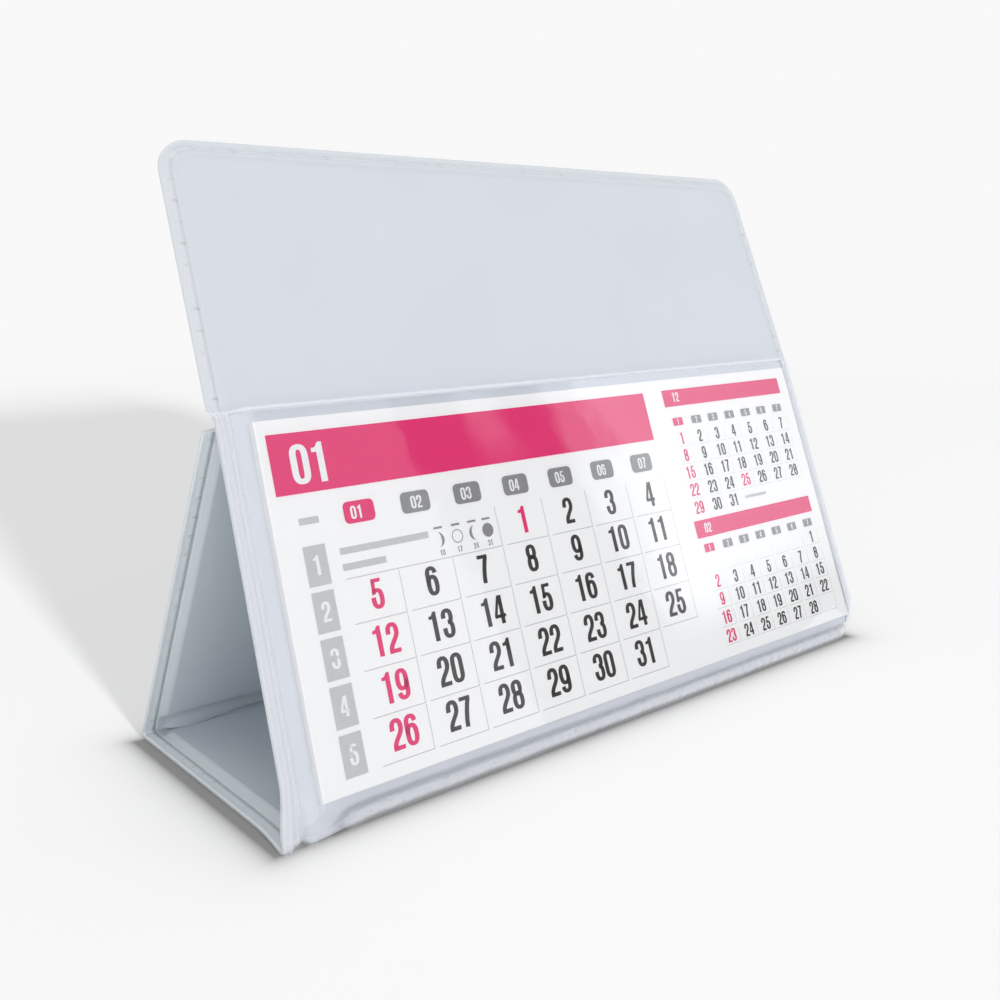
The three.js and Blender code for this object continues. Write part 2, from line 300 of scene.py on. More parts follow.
def placed(x, point):
    """World places after the sides draw in below the pocket's mouth and the fold's ends settle."""
    up = point @ UP
    from_fold = np.hypot(point[..., 0], point[..., 1])
    in_front = smooth(4.2 - np.abs(point @ FRONT_OUT))
    below_mouth = smooth(CROWN_START - up) * rises(up, 3.0, 13.0)
    drawn = POCKET_DRAW * in_front * below_mouth * np.clip(1 - x / POCKET_DRAW_WIDTH, 0, 1)
    rounded = CORNER_DRAW * rises(x, 190.0, WIDTH) * bell(from_fold, 0.0, CORNER_REACH)
    pointed = PINCH_OUT * falls(x, 1.6, 4.2) * bell(from_fold, 0.0, FOLD_REACH)
    settled = corner_settle(x, point)
    settled[..., 1] = np.maximum(settled[..., 1], 0.0)
    return world(x + drawn - rounded - pointed, settled)


def finish_mesh(name, vertices, faces, uv, material, nodes=()):
    """One piece from vertices and faces, with a coordinate pair on each vertex."""
    mesh = bpy.data.meshes.new(name)
    mesh.from_pydata(vertices.tolist(), [], faces)
    if uv is not None:
        layer = mesh.uv_layers.new(name="strip")
        loops = np.zeros(len(mesh.loops), np.int32)
        mesh.loops.foreach_get("vertex_index", loops)
        layer.data.foreach_set("uv", uv[loops].astype(np.float32).ravel())
    mesh.polygons.foreach_set("use_smooth", np.ones(len(mesh.polygons), bool))
    mesh.set_sharp_from_angle(angle=SHARP_ANGLE)
    mesh.update()
    piece = bpy.data.objects.new(name, mesh)
    bpy.context.scene.collection.objects.link(piece)
    mesh.materials.append(material)
    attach(piece, "root")
    if nodes:
        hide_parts(*nodes)
    return piece


def shell(name, outer, inner, uv, material, nodes=()):
    """A closed thin sheet between two grids of places."""
    rows, columns = outer.shape[:2]
    index = np.arange(rows * columns).reshape(rows, columns)
    back = index + rows * columns

    def quads(a, b, c, d):
        return np.stack([a.ravel(), b.ravel(), c.ravel(), d.ravel()], axis=1)

    faces = [
        quads(index[:-1, :-1], index[1:, :-1], index[1:, 1:], index[:-1, 1:]),
        quads(back[:-1, :-1], back[:-1, 1:], back[1:, 1:], back[1:, :-1]),
        quads(index[:-1, 0], back[:-1, 0], back[1:, 0], index[1:, 0]),
        quads(index[:-1, -1], index[1:, -1], back[1:, -1], back[:-1, -1]),
        quads(index[0, :-1], index[0, 1:], back[0, 1:], back[0, :-1]),
        quads(index[-1, :-1], back[-1, :-1], back[-1, 1:], index[-1, 1:]),
    ]
    vertices = np.concatenate([outer.reshape(-1, 3), inner.reshape(-1, 3)])
    pairs = np.concatenate([uv.reshape(-1, 2)] * 2)
    return finish_mesh(name, vertices, np.concatenate(faces).tolist(), pairs, material, nodes)


# Materials

TICK_PITCH = 5.0
FILM_SHINE = 1.35


def new_material(name):
    material = bpy.data.materials.new(name)
    material.use_nodes = True
    tree = material.node_tree
    return material, tree, tree.nodes["Principled BSDF"]


def math_node(tree, operation, a, b=0.0, clamp=False):
    node = tree.nodes.new("ShaderNodeMath")
    node.operation = operation
    node.use_clamp = clamp
    for socket, value in zip(node.inputs, (a, b)):
        if isinstance(value, bpy.types.NodeSocket):
            tree.links.new(value, socket)
        else:
            socket.default_value = value
    return node.outputs[0]


def noise_node(tree, scale, detail, roughness=0.5):
    coordinates = tree.nodes.new("ShaderNodeTexCoord").outputs["Object"]
    node = tree.nodes.new("ShaderNodeTexNoise")
    node.inputs["Scale"].default_value = scale
    node.inputs["Detail"].default_value = detail
    node.inputs["Roughness"].default_value = roughness
    tree.links.new(coordinates, node.inputs["Vector"])
    return node.outputs["Fac"]


def ramp_node(tree, value, low, high, low_out, high_out):
    node = tree.nodes.new("ShaderNodeMapRange")
    node.inputs["From Min"].default_value = low
    node.inputs["From Max"].default_value = high
    node.inputs["To Min"].default_value = low_out
    node.inputs["To Max"].default_value = high_out
    tree.links.new(value, node.inputs["Value"])
    return node.outputs["Result"]


def mix_colour(tree, amount, first, second):
    node = tree.nodes.new("ShaderNodeMix")
    node.data_type = "RGBA"
    tree.links.new(amount, node.inputs["Factor"])
    for socket, value in ((node.inputs[6], first), (node.inputs[7], second)):
        if isinstance(value, bpy.types.NodeSocket):
            tree.links.new(value, socket)
        else:
            socket.default_value = (*value, 1.0)
    return node.outputs[2]


def bump_node(tree, shader, *layers):
    """Chains bump layers of (height socket, distance in metres) into the shader's normal."""
    last = None
    for height, distance in layers:
        node = tree.nodes.new("ShaderNodeBump")
        node.inputs["Strength"].default_value = 1.0
        node.inputs["Distance"].default_value = distance
        tree.links.new(height, node.inputs["Height"])
        if last:
            tree.links.new(last, node.inputs["Normal"])
        last = node.outputs["Normal"]
    tree.links.new(last, shader.inputs["Normal"])


def strip_coordinates(tree):
    node = tree.nodes.new("ShaderNodeUVMap")
    node.uv_map = "strip"
    split = tree.nodes.new("ShaderNodeSeparateXYZ")
    tree.links.new(node.outputs["UV"], split.inputs["Vector"])
    return split.outputs["X"], split.outputs["Y"]


def linear(red, green, blue):
    """A colour as the shader wants it, from values of 0 to 255."""
    return tuple(
        c / 12.92 if c <= 0.04045 else ((c + 0.055) / 1.055) ** 2.4
        for c in (red / 255, green / 255, blue / 255)
    )


def near_band(tree, value, centre, inner, outer, amount):
    """The amount within the inner distance of a value, falling to 0 at the outer distance."""
    off = math_node(tree, "ABSOLUTE", math_node(tree, "SUBTRACT", value, centre))
    return ramp_node(tree, off, inner, outer, amount, 0.0)


def weld_ticks(tree, edge, along):
    """The short pressed marks across the rim weld, one each 5 mm, some of them faint."""
    phase = math_node(tree, "PINGPONG", along, TICK_PITCH / 2)
    tick = ramp_node(tree, phase, 0.10, 0.32, 1.0, 0.0)
    in_rim = ramp_node(tree, edge, 2.75, 3.1, 1.0, 0.0)
    off_edge = ramp_node(tree, edge, 1.2, 1.7, 0.0, 1.0)
    uneven = ramp_node(tree, noise_node(tree, 150.0, 1.0), 0.42, 0.6, 0.15, 1.0)
    for part in (in_rim, off_edge, uneven):
        tick = math_node(tree, "MULTIPLY", tick, part)
    return tick


def vinyl_material(name, face, rim, dirt, painted_shade):
    """Calendered vinyl: fine grain, welded rim with pressed ticks, faint clouding, and painted shade in the
    ticks, in the weld groove and on the slope inside the rim.
    """
    material, tree, shader = new_material(name)
    edge, along = strip_coordinates(tree)
    tick = weld_ticks(tree, edge, along)
    cloud = noise_node(tree, 22.0, 3.0, 0.6)
    colour = mix_colour(tree, ramp_node(tree, cloud, 0.3, 0.7, 0.0, 1.0), face, dirt)
    colour = mix_colour(tree, ramp_node(tree, edge, 2.6, 5.2, 0.85, 0.0), colour, rim)
    # Painted shade: the pressed ticks are darkened in the colour as well as pressed in by the bump.
    tick_painted_shade = math_node(tree, "MULTIPLY", tick, 0.3)
    colour = mix_colour(tree, tick_painted_shade, colour, tuple(0.6 * c for c in rim))
    # Painted shade: the weld groove is darkened in the colour.
    seam_painted_shade = near_band(tree, edge, 2.8, 0.1, 0.35, painted_shade)
    colour = mix_colour(tree, seam_painted_shade, colour, tuple(0.45 * c for c in rim))
    # Painted shade: the slope inside the rim is darkened in the colour, against the light it catches.
    slope_painted_shade = near_band(tree, edge, 4.1, 0.5, 1.2, 0.5 * painted_shade)
    colour = mix_colour(tree, slope_painted_shade, colour, tuple(0.5 * c for c in rim))
    tree.links.new(colour, shader.inputs["Base Color"])
    grain = noise_node(tree, 2600.0, 2.0, 0.6)
    orange_peel = noise_node(tree, 420.0, 1.0, 0.5)
    tree.links.new(ramp_node(tree, grain, 0.3, 0.7, 0.36, 0.50), shader.inputs["Roughness"])
    shader.inputs["IOR"].default_value = 1.48
    shader.inputs["Specular IOR Level"].default_value = 0.5
    pressed = math_node(tree, "MULTIPLY", tick, -1.0)
    bump_node(tree, shader, (grain, 0.000012), (orange_peel, 0.00003), (pressed, 0.00014))
    return material


def flat_material(name, colour, other, roughness, grain_scale=900.0, depth=0.00001):
    """Printed or plain stock: two close tones in a fine grain."""
    material, tree, shader = new_material(name)
    grain = noise_node(tree, grain_scale, 4.0, 0.7)
    tree.links.new(
        mix_colour(tree, ramp_node(tree, grain, 0.35, 0.65, 0.0, 1.0), colour, other),
        shader.inputs["Base Color"],
    )
    tree.links.new(ramp_node(tree, grain, 0.3, 0.7, roughness, roughness + 0.1), shader.inputs["Roughness"])
    bump_node(tree, shader, (grain, depth))
    return material


def film_material():
    """Clear glossy film: it only reflects, turns milky where it is welded down, and whitens along its mouth
    as a painted highlight of its top edge.
    """
    material, tree, shader = new_material("clear_film")
    milk_and_edge_highlight = strip_coordinates(tree)[1]
    fresnel = tree.nodes.new("ShaderNodeFresnel")
    fresnel.inputs["IOR"].default_value = 1.5
    ripple = noise_node(tree, 38.0, 2.0, 0.5)
    small = noise_node(tree, 260.0, 2.0, 0.5)
    facing = tree.nodes.new("ShaderNodeNewGeometry").outputs["Backfacing"]
    front = math_node(tree, "SUBTRACT", 1.0, facing)
    shine = math_node(tree, "MULTIPLY", fresnel.outputs["Fac"], FILM_SHINE)
    alpha = math_node(tree, "MULTIPLY", math_node(tree, "ADD", shine, milk_and_edge_highlight, clamp=True), front)
    tree.links.new(alpha, shader.inputs["Alpha"])
    tree.links.new(ramp_node(tree, milk_and_edge_highlight, 0.02, 0.12, 1.0, 0.0), shader.inputs["Metallic"])
    shader.inputs["Base Color"].default_value = (0.86, 0.885, 0.94, 1.0)
    tree.links.new(ramp_node(tree, milk_and_edge_highlight, 0.0, 0.3, 0.035, 0.42), shader.inputs["Roughness"])
    bump_node(tree, shader, (ripple, 0.00015), (small, 0.000006))
    return material


# The last value of each is the strength of the painted shade in the weld groove and on the rim's slope.
VINYL = vinyl_material(
    "white_vinyl", linear(220, 223, 232), linear(222, 226, 231), linear(216, 221, 229), painted_shade=0.12)
LINING = vinyl_material(
    "lining_vinyl", linear(219, 226, 233), linear(233, 240, 243), linear(213, 221, 228), painted_shade=0.6)
FILM = film_material()
CARD = flat_material("card_stock", linear(254, 254, 254), linear(251, 251, 252), 0.5, 1500.0)
BOARD = flat_material("grey_board", linear(168, 156, 138), linear(140, 128, 112), 0.9, 500.0, 0.00004)
PINK = flat_material("pink_ink", linear(233, 24, 108), linear(228, 32, 114), 0.45, 700.0)
GREY = flat_material("grey_ink", linear(142, 142, 145), linear(136, 136, 140), 0.45, 1100.0)
PALE = flat_material("pale_grey_ink", linear(200, 203, 205), linear(195, 199, 201), 0.5, 1100.0)
BLACK = flat_material("black_ink", linear(38, 34, 36), linear(46, 42, 44), 0.45, 1100.0)
WHITE = flat_material("white_ink", linear(248, 248, 250), linear(242, 243, 246), 0.5, 1100.0)
LINE = flat_material("line_ink", linear(190, 190, 192), linear(178, 178, 181), 0.5, 1100.0)

MATERIAL_OF_SLOT = {
    "vinyl": VINYL, "board": BOARD, "film": FILM, "card": CARD,
    "pink_ink": PINK, "grey_ink": GREY, "pale_grey_ink": PALE,
}
SLOT_OF_NODE = {}
for node_name in NODES:
    if node_name.startswith(("month_banner", "side_banner")) or node_name == "day_tab_1":
        SLOT_OF_NODE[node_name] = "pink_ink"
    elif node_name.startswith("day_tab"):
        SLOT_OF_NODE[node_name] = "grey_ink"
    elif node_name.startswith("week_field"):
        SLOT_OF_NODE[node_name] = "pale_grey_ink"
    elif node_name.startswith("month_card"):
        SLOT_OF_NODE[node_name] = "card"
    elif node_name.endswith("board"):
        SLOT_OF_NODE[node_name] = "board"
for node_name, slot_name in SLOT_OF_NODE.items():
    NODES[node_name].data.materials.clear()
    NODES[node_name].data.materials.append(MATERIAL_OF_SLOT[slot_name])


# Cover and lining

def edge_curl(edge):
    """The cut edge's rounding, over its last 0.4 mm."""
    return np.clip(1 - edge / 0.4, 0, 1) ** 2


def cover_height(x, s, edge, along, full):
    """How far the cover's face stands off the section."""
    side = np.minimum(x, WIDTH - x)
    height = -RIM_SINK * (1 - full) - 0.20 * edge_curl(edge)

    # The weld in the rim: a groove and a ridge along the top, finer ones at the sides, and hardly
    # any under the film.
    crown_edge = smooth((side - s) / 5.0 + 0.5)
    top_weld = 0.42 * bell(edge, 2.7, 0.55) - 0.42 * bell(edge, 1.5, 0.4)
    side_weld = 0.22 * bell(edge, 1.9, 0.45) - 0.26 * bell(edge, 2.75, 0.3)
    bare = 1 - 0.8 * smooth(s - CROWN_RUN[1] - 0.5) * smooth(FRONT_ARC[0] - s)
    height += top_weld * crown_edge + side_weld * (1 - crown_edge) * bare

    # Small unevenness along the rim, and slow waves over the boards.
    in_rim = falls(edge, RIM - 0.2, RIM + 0.6)
    height += 0.06 * bump_field(along, side * 0.3, 7.0, 6.0) * in_rim * smooth(edge / 0.8)
    height += 0.10 * bump_field(x, s, 3.0, 46.0) * full

    # The pressed line on both sides of the front fold.
    from_fold = np.abs(s - FRONT_FOLD_MID) - FOLD_HALF
    height -= 0.12 * bell(from_fold, 2.8, 0.3) * rises(side, 2.5, 4.5)
    return height


def lining_height(x, s, edge, along, full):
    """How far the lining's face stands off the section. It is below 0, inside the stand."""
    side = np.minimum(x, WIDTH - x)
    face = PRESSED_LINING + (LINING_FACE - PRESSED_LINING) * full

    # The lens-shaped wrinkle at both ends of the rear fold, and the lip above the left one.
    crease = s - REAR_FOLD_MID
    lens = rises(x, 2.2, 11.2) * (0.35 + 0.65 * falls(x, 13.0, 24.0))
    lens = np.where(x > WIDTH / 2, lens[:, ::-1], lens)
    face -= 2.5 * lens * bell(crease, 1.5, 1.7)
    face -= 0.5 * lens * bump_field(x, s, 15.0, 3.5) * bell(crease, 1.5, 2.2)
    face += 0.7 * rises(x, 2.4, 6.4) * falls(x, 17.0, 26.0) * bell(crease, -1.6, 0.5)

    # The weld line beside the rear fold, and the pad where that fold meets the left rim.
    weld_line = bell(crease, -2.6, 0.5) * (1 + 0.5 * bump_field(x, s, 17.0, 1.5))
    face -= 0.35 * rises(x, 19.0, 23.0) * weld_line
    pad = falls(x, 2.7, 3.2) * rises(x, 0.2, 0.6)
    face -= 0.8 * pad * falls(np.abs(crease), 1.2, 2.0)

    # The rim's edge, its groove and bead, and small unevenness.
    in_rim = falls(edge, RIM - 0.2, RIM + 0.6)
    face += 0.20 * edge_curl(edge)
    face += 0.45 * bell(edge, 2.75, 0.26) - 0.14 * bell(edge, 1.9, 0.5)
    face += 0.05 * bump_field(along, side * 0.3, 7.0, 6.0) * in_rim
    face += 0.12 * bump_field(x, s, 11.0, 30.0) * full
    return face


def build_vinyl():
    x, s, point, normal, edge, along, depth = strip_fields()
    full = smooth(soft_minimum(depth) / RAMP)
    uv = np.stack([edge, along], axis=-1)
    cover = cover_height(x, s, edge, along, full)
    lining = lining_height(x, s, edge, along, full)
    backing = np.minimum(cover - SHEET - LAYER_GAP, lining + SHEET)

    def sheet(height):
        return placed(x, point + normal * height[..., None])

    shell("vinyl_cover", sheet(cover), sheet(cover - SHEET), uv, VINYL, ["outer_cover"])
    shell("vinyl_lining", sheet(backing), sheet(lining), uv, LINING, ["inner_lining"])


build_vinyl()


def build_strap():
    """The band behind the front panel that holds the tongue, welded down at both ends."""
    rows = 30
    x = np.repeat(across(1.4)[None, :], rows, axis=0)
    low = PROP_HEIGHT + STRAP_LIFT
    heights = np.linspace(low + STRAP_HEIGHT, low, rows)[:, None]
    heights = np.repeat(heights, x.shape[1], axis=1)
    side = np.minimum(x, WIDTH - x)
    full = smooth((side - RIM) / RAMP)
    welded = PRESSED_LINING - 0.1
    resting = -(TONGUE_DISTANCE - RIM_SINK) - 0.15
    height = welded + (resting - welded) * full
    height += 0.14 * bell(side, 2.7, 0.25)
    height -= 0.10 * np.abs(bump_field(x, heights, 5.0, 30.0)) * full
    hem = np.minimum(heights - low, low + STRAP_HEIGHT - heights)
    rounding = 0.15 * np.clip(1 - hem / 0.8, 0, 1)
    base = CROWN_CORNER + CROWN_UP * (heights - CROWN_START)[..., None]
    outer = world(x, base - CROWN_IN * (height - rounding)[..., None])
    inner = world(x, base - CROWN_IN * (height - SHEET)[..., None])
    uv = np.stack([np.minimum(side, hem + 1.2), heights], axis=-1)
    shell("strap_band", outer, inner, uv, LINING, ["tongue_strap"])


build_strap()


# Clear pocket

# The bubbles in the bottom weld: how far along the width and up the front each one is.
BUBBLES = ((14.5, 2.5), (19.3, 2.9), (24.2, 3.7), (27.0, 2.6), (38.6, 3.9), (52.0, 3.4), (61.5, 2.7),
           (77.0, 3.6), (96.0, 2.8), (118.0, 3.4), (141.0, 2.9), (166.0, 3.4))
FILM_LOW = -0.4
FILM_BOTTOM = 0.9
FILM_WELD_WIDTH = 3.6


def film_place(u, height):
    """Places in the section at a height up the front and a distance out from it."""
    return UP * u[..., None] + FRONT_OUT * height[..., None]


def film_sheet(name, x, place, thickness, milk_and_edge_highlight, nodes=()):
    """A sheet of film that lies on the front, with its milkiness and painted edge highlight as the second
    coordinate.
    """
    uv = np.stack([np.minimum(x, WIDTH - x), milk_and_edge_highlight], axis=-1)
    shell(name, placed(x, place + FRONT_OUT * thickness), placed(x, place), uv, FILM, nodes)


def build_film():
    columns = spaced(
        (0.0, 4.0, 0.16), (4.0, 9.0, 0.4), (9.0, 191.0, 0.9), (191.0, 196.0, 0.4), (196.0, WIDTH, 0.16))
    rows = spaced((FILM_BOTTOM, 8.0, 0.3), (8.0, 86.0, 1.3), (86.0, CROWN_START, 0.25))
    x, u = np.meshgrid(columns, rows[::-1])
    side = np.minimum(x, WIDTH - x)

    # The film rises from its welds at the sides and the bottom to lie over the cards.
    left = rises(x, RIM, CARD_LEFT - 0.3)
    right = falls(x, CARD_RIGHT + 0.3, WIDTH - RIM)
    full = np.minimum(np.minimum(left, right), rises(u, 2.4, 7.0))
    height = FILM_LOW + (FILM_FACE - FILM_LOW) * full
    height += 0.10 * rises(full, 0.9, 1.0) * (1 + bump_field(x, u, 21.0, 26.0))

    # The side welds: two soft beads, with a crease near the mouth.
    weld = falls(side, FILM_WELD_WIDTH - 0.6, FILM_WELD_WIDTH) * rises(u, 1.2, 3.2)
    wander = side + 0.10 * bump_field(x * 0, u, 29.0, 16.0)
    height += weld * (0.20 * bell(wander, 0.6, 0.4) + 0.26 * bell(wander, 1.9, 0.5))
    height += weld * 0.05 * bump_field(x * 0, u, 33.0, 9.0)
    height += weld * 0.25 * bell(u, 83.2 - 0.5 * side, 0.35)

    # Milky over the side welds; the whitening along the mouth is a painted highlight of the film's top
    # edge.
    mouth = CROWN_START - u
    milk_and_edge_highlight = np.clip(0.75 * bell(mouth, 0.3, 0.55) + 0.72 * weld, 0, 0.8)
    film_sheet("clear_film", x, film_place(u, height), FILM_THICKNESS, milk_and_edge_highlight, ["clear_pocket"])


build_film()


def build_weld():
    """The puffed weld along the pocket's bottom: lumpy, milky film with small bubbles."""
    columns = spaced((9.0, 195.0, 0.4))
    x, t = np.meshgrid(columns, np.linspace(1.0, -1.0, 25))
    ends = rises(x, 9.0, 15.0) * falls(x, 190.0, 195.0)
    u = 3.0 + 0.2 * bump_field(x, t * 0, 40.0, 9.0) + t * (0.1 + 2.0 * ends)
    swell = smooth((1 - np.abs(t)) / 0.8) * ends
    lumps = bump_field(x, u * 1.2, 41.0, 2.2) + 0.5 * bump_field(x, u, 47.0, 1.0)
    height = -0.2 + swell * (1.15 + 0.28 * lumps + 0.25 * bump_field(x, t * 0, 53.0, 9.0))
    for where, high in BUBBLES:
        pit = ((x - where) / 0.6) ** 2 + ((u - high) / 0.4) ** 2
        height -= 0.5 * np.exp(-pit) - 0.15 * bell(pit, 2.2, 1.0)
    film_sheet("pocket_weld", x, film_place(u, height), WELD_THICKNESS, 0.02 + 0.6 * swell)


build_weld()


# Print

DRAWN_MARGIN = 3.0
DRAWN_SCALE = 0.987

# Digits are drawn 1 high.
DIGIT_WIDTH = 0.51
DIGIT_GAP = 0.055
STEM, BAR = 0.182, 0.138
HALF = (DIGIT_WIDTH - STEM) / 2
MIDDLE = DIGIT_WIDTH / 2


def arc(cy, rx, ry, start, end, steps=14, cx=MIDDLE):
    """Points of a squarish arc, in degrees anticlockwise from the right."""
    points = []
    for step in range(steps + 1):
        angle = math.radians(start + (end - start) * step / steps)
        c, s = math.cos(angle), math.sin(angle)
        points.append((
            cx + rx * math.copysign(abs(c) ** 0.8, c),
            cy + ry * math.copysign(abs(s) ** 0.8, s),
        ))
    return points


def ribbon(points, closed=False, width=None):
    """Faces of a pen stroke that is wide where it runs up and thinner where it runs across, or of one
    width all along."""
    pts = np.array(points)
    if closed:
        before, after = np.roll(pts, 1, axis=0), np.roll(pts, -1, axis=0)
    else:
        before = np.vstack([pts[:1], pts[:-1]])
        after = np.vstack([pts[1:], pts[-1:]])
    along = after - before
    along /= np.linalg.norm(along, axis=1)[:, None]
    if width:
        half = np.full(len(pts), width / 2)
    else:
        half = np.hypot(STEM * along[:, 1], BAR * along[:, 0]) / 2
    out = np.stack([along[:, 1], -along[:, 0]], axis=1) * half[:, None]
    left, right = pts - out, pts + out
    faces = []
    count = len(pts)
    for i in range(count if closed else count - 1):
        j = (i + 1) % count
        faces.append([tuple(left[i]), tuple(right[i]), tuple(right[j]), tuple(left[j])])
    return faces


def digit_faces():
    top, low = 1 - BAR / 2, BAR / 2
    loop_ry, bowl_ry, upper_ry = 0.24, 0.285, 0.205
    zero = arc(top - loop_ry, HALF, loop_ry, 0, 180)[:-1] + [(MIDDLE - HALF, top - loop_ry)]
    zero += arc(low + loop_ry, HALF, loop_ry, 180, 360)[:-1] + [(MIDDLE + HALF, low + loop_ry)]
    bowl = arc(low + bowl_ry, HALF, bowl_ry, 0, 360, 26)[:-1]
    six = [(MIDDLE - HALF, low + bowl_ry)] + arc(top - loop_ry, HALF, loop_ry, 180, 12)
    nine = [(DIGIT_WIDTH - x, 1 - y) for x, y in six]
    two = arc(top - 0.25, HALF, 0.25, 188, 0)
    for t in np.linspace(0.12, 1.0, 9):
        a, b, c, d = ((MIDDLE + HALF, 0.69), (MIDDLE + HALF, 0.47), (0.135, 0.34), (0.115, 0.11))
        two.append(tuple(
            (1 - t) ** 3 * a[k] + 3 * t * (1 - t) ** 2 * b[k] + 3 * t * t * (1 - t) * c[k] + t**3 * d[k]
            for k in (0, 1)))
    three_top = arc(top - upper_ry, HALF * 0.95, upper_ry, 188, -90)
    three_low = arc(low + 0.24, HALF, 0.24, 90, -188)
    five = arc(low + 0.27, HALF, 0.27, 143, -188, 20)
    return {
        "0": ribbon(zero, True),
        "1": [[(0.195, 0), (0.38, 0), (0.38, 1), (0.26, 1), (0.195, 0.9)],
              [(0.06, 0.755), (0.195, 0.755), (0.195, 0.9), (0.15, 0.868), (0.06, 0.86)]],
        "2": ribbon(two) + [[(0.03, 0), (0.485, 0), (0.485, BAR), (0.03, BAR)]],
        "3": ribbon(three_top) + ribbon(three_low),
        "4": [[(0.26, 0), (0.435, 0), (0.435, 1), (0.26, 1)],
              [(0.005, 0.215), (0.505, 0.215), (0.505, 0.335), (0.005, 0.335)],
              [(0.005, 0.335), (0.135, 0.335), (0.275, 0.78), (0.275, 1.0), (0.235, 1.0)]],
        "5": ribbon(five) + [[(0.095, 0.875), (0.46, 0.875), (0.46, 1), (0.095, 1)],
                             [(0.065, 0.46), (0.205, 0.5), (0.235, 0.9), (0.095, 1)]],
        "6": ribbon(six) + ribbon(bowl, True),
        "7": [[(0.025, 0.87), (0.485, 0.87), (0.485, 1), (0.025, 1)]]
             + ribbon([(0.40, 0.90), (0.345, 0.76), (0.27, 0.5), (0.215, 0.22), (0.195, 0.0)], width=0.18),
        "8": ribbon(arc(top - upper_ry, HALF * 0.93, upper_ry, 0, 360, 22)[:-1], True)
             + ribbon(arc(low + 0.24, HALF, 0.24, 0, 360, 24)[:-1], True),
        "9": ribbon(nine) + ribbon([(DIGIT_WIDTH - x, 1 - y) for x, y in bowl], True),
    }


DIGITS = digit_faces()


def number_faces(text, centre, top, height):
    """Faces of a number on the card: its middle, its top and its height in millimetres."""
    pitch = (DIGIT_WIDTH + DIGIT_GAP) * height
    start = centre - (pitch * (len(text) - 1) + DIGIT_WIDTH * height) / 2
    faces = []
    for place, figure in enumerate(text):
        for face in DIGITS[figure]:
            faces.append([(start + place * pitch + x * height, top + (1 - y) * height) for x, y in face])
    return faces


def bar(left, top, right, bottom):
    return [(left, top), (right, top), (right, bottom), (left, bottom)]


def disc(cx, cy, radius, steps=28):
    angles = [2 * math.pi * k / steps for k in range(steps)]
    return [(cx + radius * math.cos(a), cy + radius * math.sin(a)) for a in angles]


def crescent(cx, cy, radius, side, steps=16):
    angles = [math.pi * (k / steps - 0.5) for k in range(steps + 1)]
    outer = [(cx + side * radius * math.cos(a), cy + radius * math.sin(a)) for a in angles]
    inner = [(cx + side * radius * 0.55 * math.cos(a), cy + radius * math.sin(a)) for a in reversed(angles)]
    return outer + inner[1:-1]


def ring(cx, cy, radius, width):
    outer, inner = disc(cx, cy, radius), disc(cx, cy, radius - width)
    count = len(outer)
    return [[outer[k], outer[(k + 1) % count], inner[(k + 1) % count], inner[k]] for k in range(count)]


def print_piece(name, faces, height, material):
    """Flat ink on the card. A face lists points in millimetres right of and below the card's corner."""
    vertices, polygons = [], []
    for face in faces:
        area = sum(a[0] * b[1] - b[0] * a[1] for a, b in zip(face, face[1:] + face[:1]))
        ordered = face if area < 0 else face[::-1]
        polygons.append(list(range(len(vertices), len(vertices) + len(ordered))))
        vertices.extend(ordered)
    flat = np.array(vertices)
    point = UP * (CARD_TOP - flat[:, 1])[:, None] + FRONT_OUT * height
    return finish_mesh(name, world(CARD_LEFT + flat[:, 0], point), polygons, None, material)


def on_card(eighths):
    """Millimetres on the card from eighths of a millimetre, drawn with a margin and a little large."""
    return (eighths / 8 - DRAWN_MARGIN) * DRAWN_SCALE


# Places on the card in eighths of a millimetre, with the margin that on_card takes off.
DAY_COLUMNS = (200, 321, 443, 565, 688, 810, 933)
DAY_TOPS = (247, 324, 404, 484, 562)
SIDE_DAY_COLUMNS = (1083, 1146, 1208, 1270, 1333, 1397, 1460)
BEFORE_ROWS = (163, 203, 243, 283, 324)
AFTER_ROWS = (451, 491, 531, 572, 613)
TAB_COLUMNS = (191, 321, 438, 560, 684, 806, 933)
SIDE_TAB_COLUMNS = (1082, 1147, 1207, 1269, 1331, 1393, 1458)
SIDE_TAB_TOPS = (115, 407)
SIDE_TAB_WIDTH, SIDE_TAB_HEIGHT = 33, 18
CELL_LEFTS = (145, 265, 387, 510, 632, 755, 877)
CELL_RIGHTS = (255, 377, 500, 622, 745, 868, 990)
CELL_TOPS = (238, 318, 396, 476, 555)
CELL_BOTTOMS = (316, 394, 474, 553, 632)
SIDE_CELL_BOTTOMS = (182, 223, 263, 303, 470, 511, 551, 592, 632)
MOON_CENTRES = (357, 398, 437, 472)
MOON_ROW = 280

# Heights of numbers and widths of lines, in millimetres.
DAY_HEIGHT = 6.54
SIDE_DAY_HEIGHT = 3.5
CELL_LINE, SIDE_CELL_LINE = 0.16, 0.09
SIDE_CELL_HALF, SIDE_CELL_HEIGHT = 3.4, 4.2
INK = CARD_FACE + 0.02
INK_ON_FIELD = PRINT_FACE + 0.02


def month_numbers(days, first, columns, tops, height, pink_days=()):
    """One month's day numbers: those in the first column and the named days are pink."""
    black, pink = [], []
    for day in range(1, days + 1):
        row, column = divmod(day - 1 + first, 7)
        target = pink if column == 0 or day in pink_days else black
        target += number_faces(str(day), columns[column], tops[row], height)
    return black, pink


def build_day_numbers():
    columns = [on_card(v) for v in DAY_COLUMNS]
    tops = [on_card(v) for v in DAY_TOPS]
    black, pink = month_numbers(31, 3, columns, tops, DAY_HEIGHT, (1,))
    print_piece("day_numbers_black", black, INK, BLACK)
    print_piece("day_numbers_pink", pink, INK, PINK)


